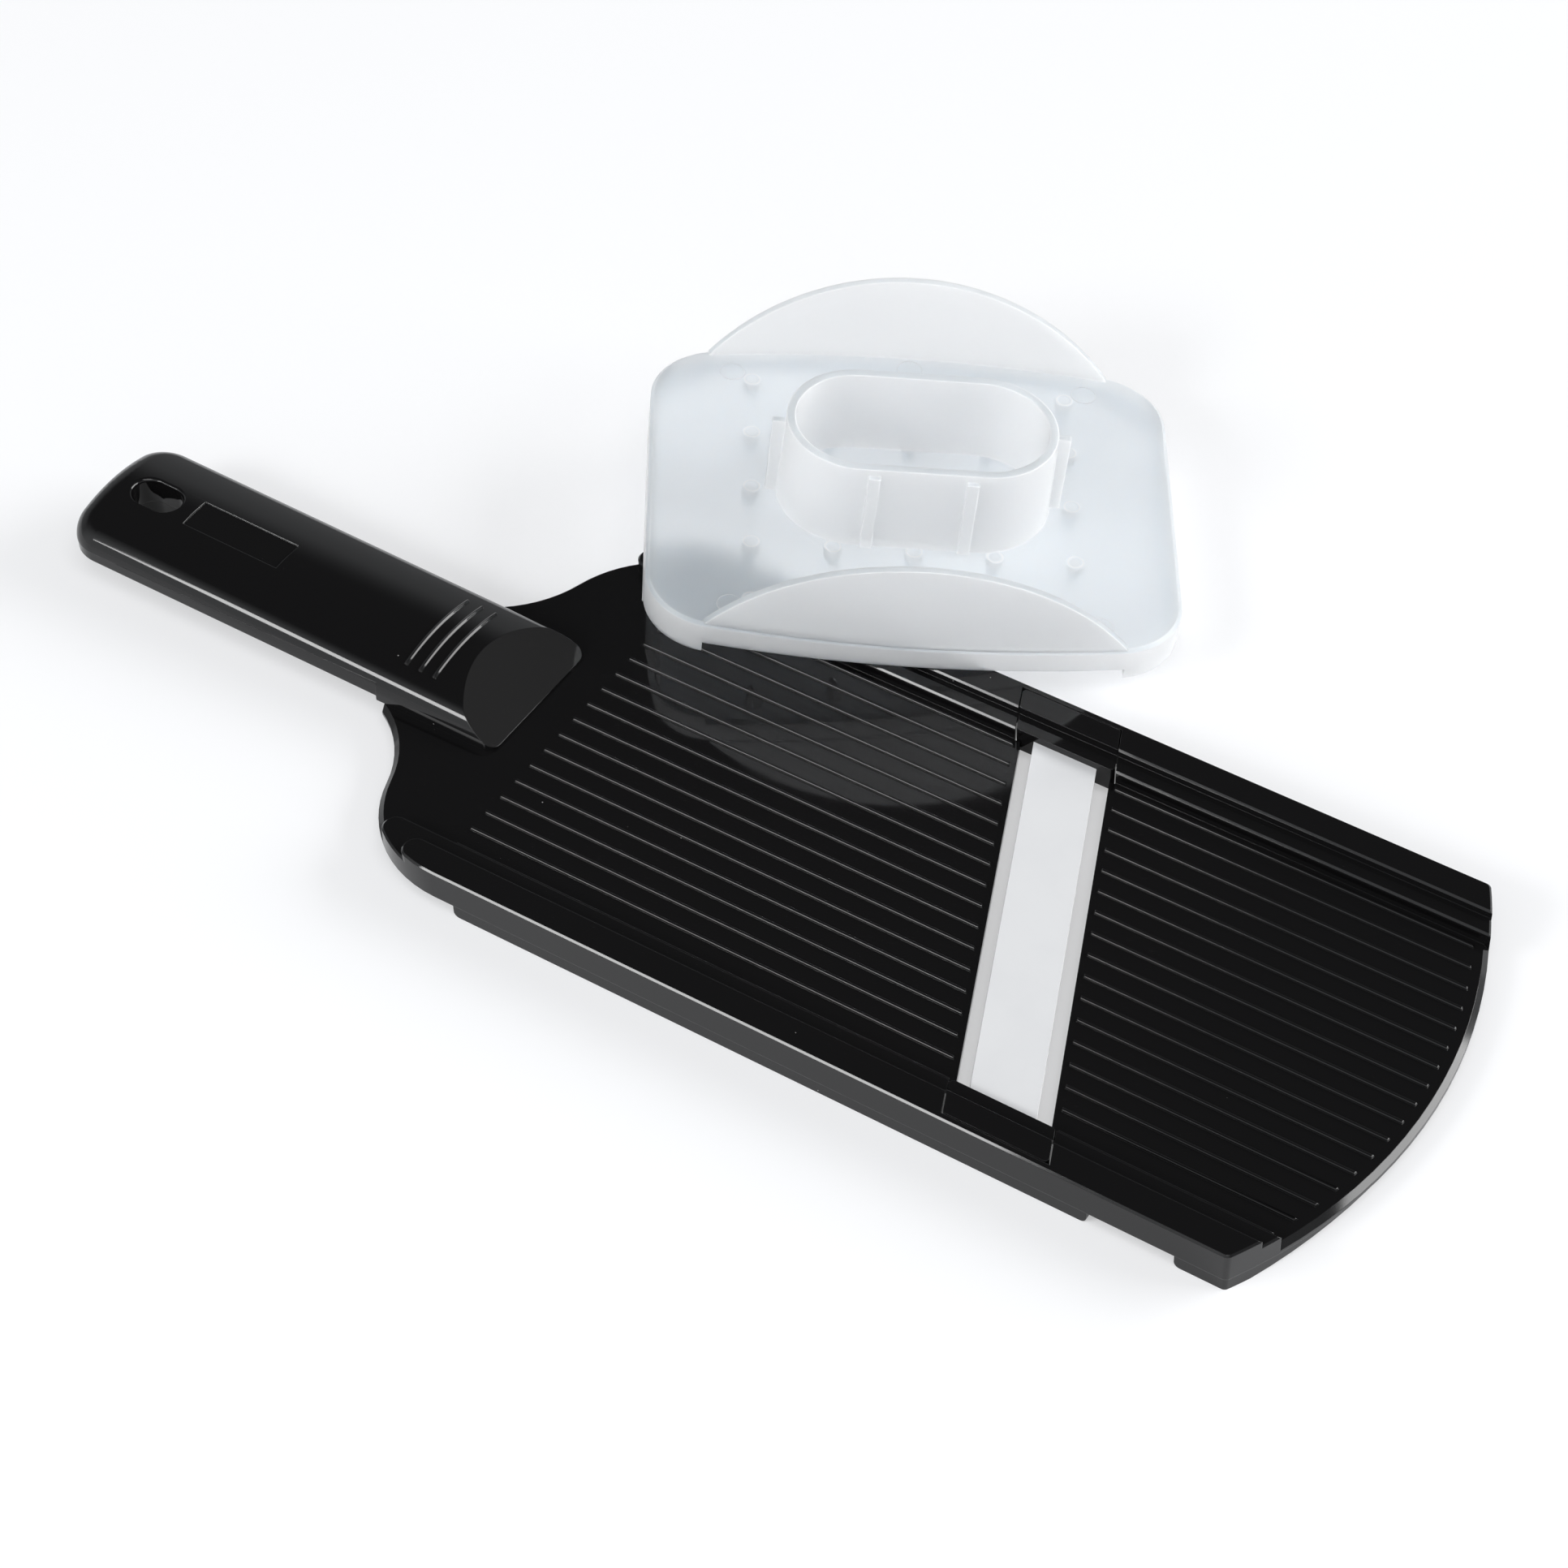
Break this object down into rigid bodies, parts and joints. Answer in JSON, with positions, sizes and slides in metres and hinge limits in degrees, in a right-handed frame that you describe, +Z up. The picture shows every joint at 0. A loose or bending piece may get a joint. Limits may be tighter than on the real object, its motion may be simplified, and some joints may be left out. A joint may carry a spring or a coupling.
{
  "type": "mandoline slicer",
  "caption": "Flat mandoline slicer with ridged deck, stepped side rails, slanted ceramic blade with raised end blocks, bar handle and a loose translucent finger guard.",
  "frame": {"origin": "middle of the set's footprint, on the table that the side walls stand on", "axes": "+X along the slicer away from the handle, +Y across it towards the finger guard, +Z up"},
  "size_m": [0.3088, 0.1908, 0.0403],
  "materials": {
    "black_plastic": "polished black",
    "white_ceramic": "polished white ceramic, opaque",
    "steel_wire": "drawn wire",
    "barrel_plastic": "fluted black",
    "milky_plastic": "milky translucent"
  },
  "bodies": {
    "frame": {"deck": "black_plastic", "handle_shell": "black_plastic"},
    "blade_carrier": {"ceramic_blade": "white_ceramic", "blade_block_near": "black_plastic", "blade_block_far": "black_plastic"},
    "adjuster": {"crank_wire": "steel_wire", "thumb_barrel": "barrel_plastic"},
    "guard": {"finger_guard": "milky_plastic"}
  },
  "joints": [
    {"name": "thickness_turn", "type": "hinge", "parent": "frame", "child": "adjuster", "pos_m": [0.0707, -0.04344, 0.0031], "axis": [0.3891, -0.9212, 0], "range_deg": [0, 100]},
    {"name": "blade_lift", "type": "slide", "parent": "frame", "child": "blade_carrier", "axis": [0, 0, 1], "range_m": [0, 0.0015]},
    {"name": "guard_lift", "type": "slide", "parent": "frame", "child": "guard", "axis": [0, 0, 1], "range_m": [0, 0.08]}
  ],
  "couplings": [
    {"joint": "thickness_turn", "follows": "blade_lift", "rad_per_m": 1163.6}
  ]
}
